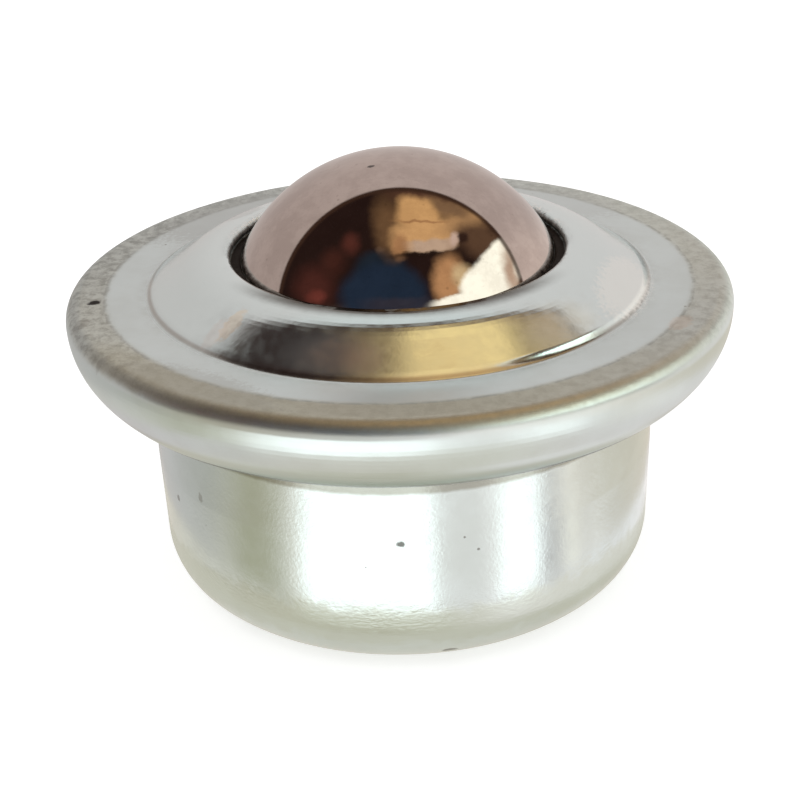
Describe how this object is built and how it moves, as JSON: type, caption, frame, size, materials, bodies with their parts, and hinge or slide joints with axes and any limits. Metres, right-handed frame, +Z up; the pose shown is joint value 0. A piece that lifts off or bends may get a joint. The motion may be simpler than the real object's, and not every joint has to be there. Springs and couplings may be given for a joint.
{
  "type": "flanged ball transfer unit",
  "caption": "Ball transfer unit: a load ball rolling on small support balls in a zinc-plated pressed steel cup, with a rolled rim that rests on a table.",
  "frame": {"origin": "on the upright axis, in the plane where the underside of the rim rests on a table top", "axes": "+Z up along the axis, towards the load ball; X and Y are free, because the unit is round"},
  "size_m": [0.0572, 0.0572, 0.0375],
  "materials": {
    "housing_zinc": "zinc plated, satin, slightly mottled",
    "cover_zinc": "zinc plated, satin, with a matt pressed band at the rim",
    "hardened_steel": "hardened, oiled",
    "felt": "pressed felt, oiled",
    "polished_ball": "mirror polished",
    "small_ball_steel": "polished, oiled"
  },
  "bodies": {
    "shell": {"housing": "housing_zinc", "cover": "cover_zinc", "ball_cup": "hardened_steel", "seal_ring": "felt"},
    "ball_bed": {"bottom_support_ball": "small_ball_steel", "support_ball_1_1": "small_ball_steel", "support_ball_1_2": "small_ball_steel", "support_ball_1_3": "small_ball_steel", "support_ball_1_4": "small_ball_steel", "support_ball_1_5": "small_ball_steel", "support_ball_1_6": "small_ball_steel", "support_ball_2_1": "small_ball_steel", "support_ball_2_2": "small_ball_steel", "support_ball_2_3": "small_ball_steel", "support_ball_2_4": "small_ball_steel", "support_ball_2_5": "small_ball_steel", "support_ball_2_6": "small_ball_steel", "support_ball_2_7": "small_ball_steel", "support_ball_2_8": "small_ball_steel", "support_ball_2_9": "small_ball_steel", "support_ball_2_10": "small_ball_steel", "support_ball_2_11": "small_ball_steel", "support_ball_2_12": "small_ball_steel", "support_ball_3_1": "small_ball_steel", "support_ball_3_2": "small_ball_steel", "support_ball_3_3": "small_ball_steel", "support_ball_3_4": "small_ball_steel", "support_ball_3_5": "small_ball_steel", "support_ball_3_6": "small_ball_steel", "support_ball_3_7": "small_ball_steel", "support_ball_3_8": "small_ball_steel", "support_ball_3_9": "small_ball_steel", "support_ball_3_10": "small_ball_steel", "support_ball_3_11": "small_ball_steel", "support_ball_3_12": "small_ball_steel", "support_ball_3_13": "small_ball_steel", "support_ball_3_14": "small_ball_steel", "support_ball_3_15": "small_ball_steel", "support_ball_3_16": "small_ball_steel", "support_ball_3_17": "small_ball_steel", "support_row_4": "small_ball_steel", "support_row_5": "small_ball_steel", "support_row_6": "small_ball_steel", "support_row_7": "small_ball_steel", "support_row_8": "small_ball_steel"},
    "side_ball": {"side_support_ball": "small_ball_steel"},
    "load_ball": {"main_ball": "polished_ball"}
  },
  "joints": [
    {"name": "bed_turn", "type": "hinge", "parent": "shell", "child": "ball_bed", "pos_m": [0, 0, 0.00261], "axis": [0, 0, 1], "continuous": true},
    {"name": "roll_about_x", "type": "hinge", "parent": "ball_bed", "child": "side_ball", "pos_m": [0, 0, 0.00261], "axis": [1, 0, 0], "continuous": true},
    {"name": "roll_about_y", "type": "hinge", "parent": "side_ball", "child": "load_ball", "pos_m": [0, 0, 0.00261], "axis": [0, 1, 0], "continuous": true}
  ]
}
